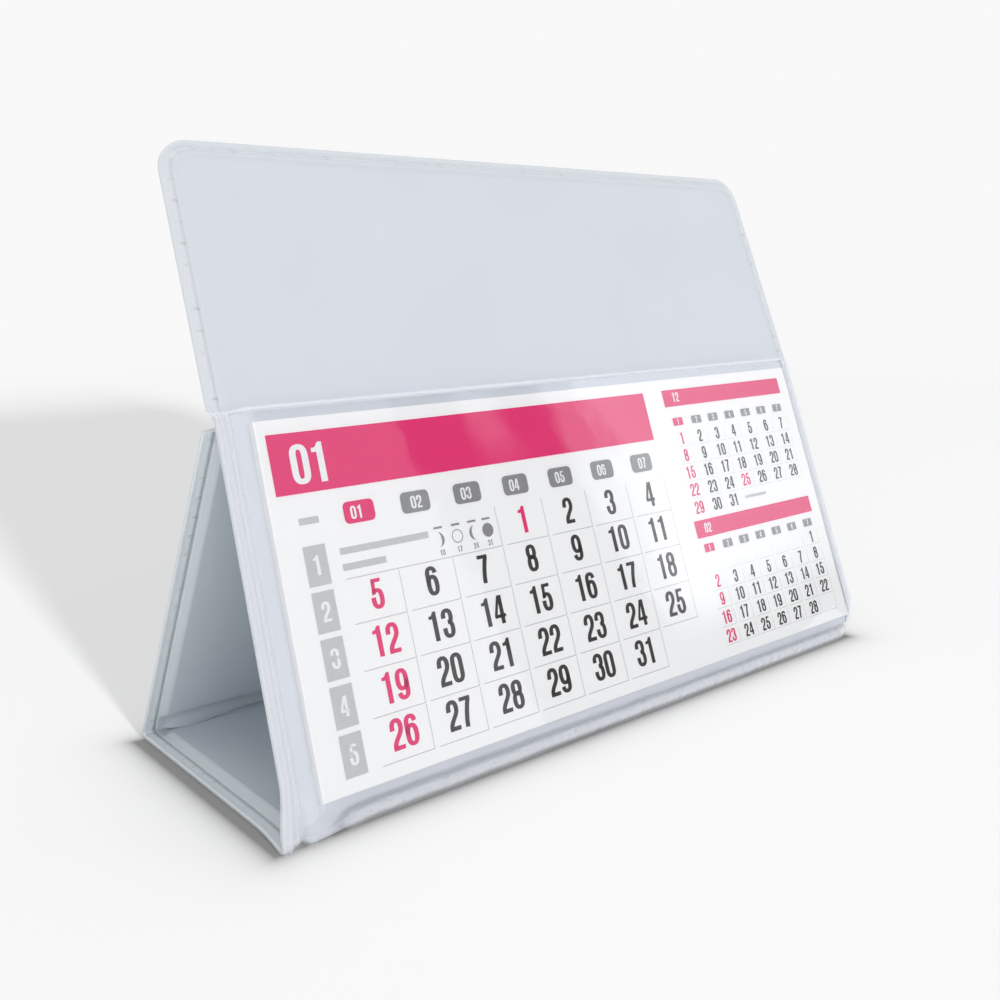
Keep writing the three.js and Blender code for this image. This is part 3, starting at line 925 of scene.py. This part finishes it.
def build_side_numbers():
    """The months before and after, in small day numbers."""
    columns = [on_card(v) for v in SIDE_DAY_COLUMNS]
    black, pink = [], []
    for rows, days, first, pink_days in ((BEFORE_ROWS, 31, 0, (25,)), (AFTER_ROWS, 28, 6, ())):
        tops = [on_card(v) - SIDE_DAY_HEIGHT / 2 for v in rows]
        month = month_numbers(days, first, columns, tops, SIDE_DAY_HEIGHT, pink_days)
        black += month[0]
        pink += month[1]
    print_piece("side_numbers_black", black, INK, BLACK)
    print_piece("side_numbers_pink", pink, INK, PINK)


def build_white_numbers():
    """The numbers on the fields of ink: months, weeks and days of the week."""
    white = number_faces("01", on_card(118), on_card(71), 8.75)
    for number, top in (("12", 56), ("02", 361)):
        white += number_faces(number, on_card(1093), on_card(top), 2.7)
    for week in range(5):
        white += number_faces(str(week + 1), on_card(94.5), on_card(265 + 78.9 * week), 4.2)
    for day, column in enumerate(TAB_COLUMNS):
        white += number_faces(f"{day + 1:02d}", on_card(column), on_card(192), 2.9)
    for top in SIDE_TAB_TOPS:
        for day, column in enumerate(SIDE_TAB_COLUMNS):
            white += number_faces(str(day + 1), on_card(column), on_card(top + 2.5), 1.65)
    print_piece("white_numbers", white, INK_ON_FIELD, WHITE)


def build_side_tabs():
    tabs = {"pink": [], "grey": []}
    for top in SIDE_TAB_TOPS:
        for day, column in enumerate(SIDE_TAB_COLUMNS):
            left, right = on_card(column - SIDE_TAB_WIDTH / 2), on_card(column + SIDE_TAB_WIDTH / 2)
            tab = bar(left, on_card(top), right, on_card(top + SIDE_TAB_HEIGHT))
            tabs["pink" if day == 0 else "grey"].append(tab)
    print_piece("side_tabs_pink", tabs["pink"], PRINT_FACE, PINK)
    print_piece("side_tabs_grey", tabs["grey"], PRINT_FACE, GREY)


def build_cell_lines():
    """A line below and to the right of each day's cell. The first row's first two cells hold the
    notes, and have only the line below, and the last cell has none."""
    lines = []
    for row, (top, bottom) in enumerate(zip(CELL_TOPS, CELL_BOTTOMS)):
        top, bottom = on_card(top), on_card(bottom)
        for column, (left, right) in enumerate(zip(CELL_LEFTS, CELL_RIGHTS)):
            left, right = on_card(left), on_card(right)
            if row == 4 and column == 6:
                continue
            if row == 0 and column < 2:
                lines.append(bar(left, bottom - CELL_LINE, on_card(CELL_LEFTS[column + 1]), bottom))
                continue
            lines.append(bar(left, bottom - CELL_LINE, right, bottom))
            lines.append(bar(right - CELL_LINE, top, right, bottom))
    for bottom in SIDE_CELL_BOTTOMS:
        bottom = on_card(bottom)
        for column in SIDE_DAY_COLUMNS:
            left, right = on_card(column) - SIDE_CELL_HALF, on_card(column) + SIDE_CELL_HALF
            lines.append(bar(left, bottom - SIDE_CELL_LINE, right, bottom))
            lines.append(bar(right, bottom - SIDE_CELL_HEIGHT, right + SIDE_CELL_LINE, bottom))
    print_piece("cell_lines", lines, INK - 0.01, LINE)


def build_marks():
    """The four phases of the moon, with their day numbers, and plain bars in place of notes."""
    high = on_card(MOON_ROW)
    moons = [crescent(on_card(353), high, 1.75, 1), crescent(on_card(441), high, 1.75, -1),
             disc(on_card(472), high, 1.65)]
    moons += ring(on_card(398), high, 1.6, 0.22)
    for centre, number in zip(MOON_CENTRES, ("10", "17", "24", "31")):
        moons.append(bar(on_card(centre - 10), on_card(256), on_card(centre + 10), on_card(260)))
        moons += number_faces(number, on_card(centre), on_card(299), 1.35)
    notes = [bar(*(on_card(v) for v in corners)) for corners in (
        (143, 261, 333, 273), (143, 289, 233, 301), (75, 199, 114, 211), (1250, 320, 1330, 327))]
    print_piece("moon_marks", moons, INK, GREY)
    print_piece("note_bars", notes, INK, PALE)


def build_print():
    build_day_numbers()
    build_side_numbers()
    build_white_numbers()
    build_side_tabs()
    build_cell_lines()
    build_marks()


build_print()


# Stage, lights and camera

BACKDROP = (0.944, 0.944, 0.944, 1)
FLOOR_REACH = 6.0
FLOOR_GLOW = 0.5
FLOOR_FADE = (0.62, 1.1)

# The base's outline on the floor for the painted contact shadow, in metres: axis, offset of its middle, and
# half its length.
CONTACT = (("X", 0.0035, 0.0985), ("Y", -0.0005, 0.0340))


def direct_ray(tree):
    """1 for a ray that the eye follows: from the camera, mirrored, or through a clear sheet."""
    path = tree.nodes.new("ShaderNodeLightPath").outputs
    mirrored = math_node(tree, "MAXIMUM", path["Is Glossy Ray"], path["Is Transmission Ray"])
    return math_node(tree, "MAXIMUM", path["Is Camera Ray"], mirrored)


def mix_shader(tree, amount, first, second):
    node = tree.nodes.new("ShaderNodeMixShader")
    tree.links.new(amount, node.inputs["Fac"])
    tree.links.new(first, node.inputs[1])
    tree.links.new(second, node.inputs[2])
    return node.outputs[0]


def contact_shade(tree, place):
    """Painted shadow on the floor by the distance from the base's outline: a tight dark line in a wide
    haze.
    """
    split = tree.nodes.new("ShaderNodeSeparateXYZ")
    tree.links.new(place, split.inputs["Vector"])
    squares = []
    for axis, offset, half in CONTACT:
        off_middle = math_node(tree, "ABSOLUTE", math_node(tree, "ADD", split.outputs[axis], offset))
        beyond = math_node(tree, "MAXIMUM", math_node(tree, "SUBTRACT", off_middle, half), 0.0)
        squares.append(math_node(tree, "POWER", beyond, 2.0))
    gap = math_node(tree, "SQRT", math_node(tree, "ADD", *squares))
    layers = []
    for fall, amount in ((-450.0, 0.56), (-140.0, 0.16)):
        layer = math_node(tree, "EXPONENT", math_node(tree, "MULTIPLY", gap, fall))
        layers.append(math_node(tree, "MULTIPLY", layer, amount))
    return math_node(tree, "ADD", *layers, clamp=True)


def stage_floor():
    """A matt white floor that fades into the backdrop's white away from the object, with a painted contact
    shadow around the base.
    """
    reach = FLOOR_REACH
    mesh = bpy.data.meshes.new("floor")
    corners = [(-reach, -reach, 0), (reach, -reach, 0), (reach, reach, 0), (-reach, reach, 0)]
    mesh.from_pydata(corners, [], [(0, 1, 2, 3)])
    floor = bpy.data.objects.new("floor", mesh)
    bpy.context.scene.collection.objects.link(floor)
    material = bpy.data.materials.new("floor_paper")
    material.use_nodes = True
    tree = material.node_tree
    tree.nodes.clear()
    matt = tree.nodes.new("ShaderNodeBsdfDiffuse")
    matt.inputs["Color"].default_value = (0.66, 0.66, 0.66, 1)
    glow = tree.nodes.new("ShaderNodeEmission")
    glow.inputs["Color"].default_value = BACKDROP
    dark = tree.nodes.new("ShaderNodeEmission")
    dark.inputs["Strength"].default_value = 0.0
    place = tree.nodes.new("ShaderNodeTexCoord").outputs["Object"]
    length = tree.nodes.new("ShaderNodeVectorMath")
    length.operation = "LENGTH"
    tree.links.new(place, length.inputs[0])
    fade = ramp_node(tree, length.outputs["Value"], *FLOOR_FADE, FLOOR_GLOW, 1.0)
    seen = math_node(tree, "MULTIPLY", direct_ray(tree), fade)
    paper = mix_shader(tree, seen, matt.outputs[0], glow.outputs[0])
    # Painted shadow: the floor's shading is mixed towards black near the base.
    shaded = mix_shader(tree, contact_shade(tree, place), paper, dark.outputs[0])
    out = tree.nodes.new("ShaderNodeOutputMaterial")
    tree.links.new(shaded, out.inputs["Surface"])
    mesh.materials.append(material)
    return floor


def stage_world(strength):
    """Even studio light, seen as the backdrop's white."""
    world_data = bpy.data.worlds.new("studio")
    bpy.context.scene.world = world_data
    world_data.use_nodes = True
    tree = world_data.node_tree
    background = tree.nodes["Background"]
    background.inputs["Color"].default_value = (0.97, 0.985, 1.0, 1)
    background.inputs["Strength"].default_value = strength
    backdrop = tree.nodes.new("ShaderNodeBackground")
    backdrop.inputs["Color"].default_value = BACKDROP
    shader = mix_shader(tree, direct_ray(tree), background.outputs[0], backdrop.outputs[0])
    tree.links.new(shader, tree.nodes["World Output"].inputs["Surface"])


def add_lamp(name, kind, energy, towards):
    data = bpy.data.lights.new(name, kind)
    data.energy = energy
    lamp = bpy.data.objects.new(name, data)
    bpy.context.scene.collection.objects.link(lamp)
    lamp.rotation_mode = "QUATERNION"
    lamp.rotation_quaternion = Vector(towards).to_track_quat("-Z", "Y")
    return lamp


def area_light(name, place, aim, size, power):
    lamp = add_lamp(name, "AREA", power, Vector(aim) - Vector(place))
    lamp.data.shape = "RECTANGLE"
    lamp.data.size = size
    lamp.data.size_y = size
    lamp.location = place


def sun(name, towards, strength, spread):
    lamp = add_lamp(name, "SUN", strength, towards)
    lamp.data.angle = math.radians(spread)
    return lamp


# The glare panel, in metres: its middle, the way it faces from, its sides and its strength.
PANEL_CENTRE = (0.7433, -0.5576, 0.2501)
PANEL_AWAY = (0.7704, -0.5968, 0.2246)
PANEL_LEFT, PANEL_RIGHT, PANEL_LOW, PANEL_TOP = -0.20, 0.29, -0.16, 0.30
PANEL_STRENGTH = 3.0
STREAK_AT = 0.188


def panel_glow(tree):
    """The panel's brightness: full, half and none across it, with one soft streak further on."""
    split = tree.nodes.new("ShaderNodeSeparateXYZ")
    tree.links.new(tree.nodes.new("ShaderNodeTexCoord").outputs["Object"], split.inputs["Vector"])
    across_panel, up_panel = split.outputs["X"], split.outputs["Y"]
    full = ramp_node(tree, across_panel, 0.076, 0.090, 0.5, 0.0)
    half = ramp_node(tree, across_panel, 0.112, 0.128, 0.5, 0.0)
    low = ramp_node(tree, up_panel, -0.13, -0.06, 0.0, 1.0)
    body = math_node(tree, "MULTIPLY", math_node(tree, "ADD", full, half), low)
    far = ramp_node(tree, across_panel, -0.12, 0.08, 0.55, 1.0)
    body = math_node(tree, "MULTIPLY", body, far)
    streak = near_band(tree, across_panel, STREAK_AT, 0.010, 0.032, 0.36)
    streak = math_node(tree, "MULTIPLY", streak, ramp_node(tree, up_panel, 0.12, 0.18, 0.0, 1.0))
    return math_node(tree, "ADD", body, streak)


def glare_panel():
    """A soft-edged bright panel where the right half of the film mirrors the studio."""
    away = Vector(PANEL_AWAY).normalized()
    right = away.cross(Vector((0, 0, 1))).normalized()
    top = right.cross(away)
    mesh = bpy.data.meshes.new("glare_panel")
    corners = [(PANEL_LEFT, PANEL_LOW, 0), (PANEL_RIGHT, PANEL_LOW, 0),
               (PANEL_RIGHT, PANEL_TOP, 0), (PANEL_LEFT, PANEL_TOP, 0)]
    mesh.from_pydata(corners, [], [(0, 1, 2, 3)])
    panel = bpy.data.objects.new("glare_panel", mesh)
    bpy.context.scene.collection.objects.link(panel)
    turn = Matrix((right, top, -away)).transposed().to_4x4()
    panel.matrix_world = Matrix.Translation(PANEL_CENTRE) @ turn
    panel.visible_camera = False
    panel.visible_shadow = False
    material = bpy.data.materials.new("panel_glow")
    material.use_nodes = True
    tree = material.node_tree
    tree.nodes.clear()
    emission = tree.nodes.new("ShaderNodeEmission")
    strength = math_node(tree, "MULTIPLY", panel_glow(tree), PANEL_STRENGTH)
    tree.links.new(strength, emission.inputs["Strength"])
    out = tree.nodes.new("ShaderNodeOutputMaterial")
    tree.links.new(emission.outputs[0], out.inputs["Surface"])
    mesh.materials.append(material)


def floor_sunlight(floor):
    """A low sun that lights only the floor, and throws the long shadow behind the object."""
    lamp = sun("floor_sun", (0.12, 0.97, -0.2), 9.2, 5.0)
    floor_only = bpy.data.collections.new("floor_only")
    floor_only.objects.link(floor)
    lamp.light_linking.receiver_collection = floor_only


floor_object = stage_floor()
stage_world(0.45)
glare_panel()
area_light("front_box", (0.0, -2.3, 1.2), (0, 0, 0.06), 2.2, 16.6)
area_light("left_box", (-1.5, -0.9, 0.35), (0, 0, 0.05), 1.2, 5.5)
sun("top_sun", (-0.05, -0.2, -1.0), 0.75, 50.0)
floor_sunlight(floor_object)

CAMERA_PLACE = (-0.2022, -0.2184, 0.1145)
CAMERA_AZIMUTH, CAMERA_DROP = math.radians(40.35), math.radians(5.31)

camera_data = bpy.data.cameras.new("camera")
camera = bpy.data.objects.new("camera", camera_data)
bpy.context.scene.collection.objects.link(camera)
camera_data.sensor_width = 36.0
camera_data.lens = 40.18
camera_data.shift_y = -0.1346
camera_data.clip_start = 0.01
camera_data.clip_end = 100.0
level = math.cos(CAMERA_DROP)
sideways, ahead = math.sin(CAMERA_AZIMUTH) * level, math.cos(CAMERA_AZIMUTH) * level
forward = Vector((sideways, ahead, -math.sin(CAMERA_DROP)))
camera.location = CAMERA_PLACE
camera.rotation_mode = "QUATERNION"
camera.rotation_quaternion = forward.to_track_quat("-Z", "Y")
bpy.context.scene.camera = camera
bpy.context.scene.view_settings.view_transform = "Standard"
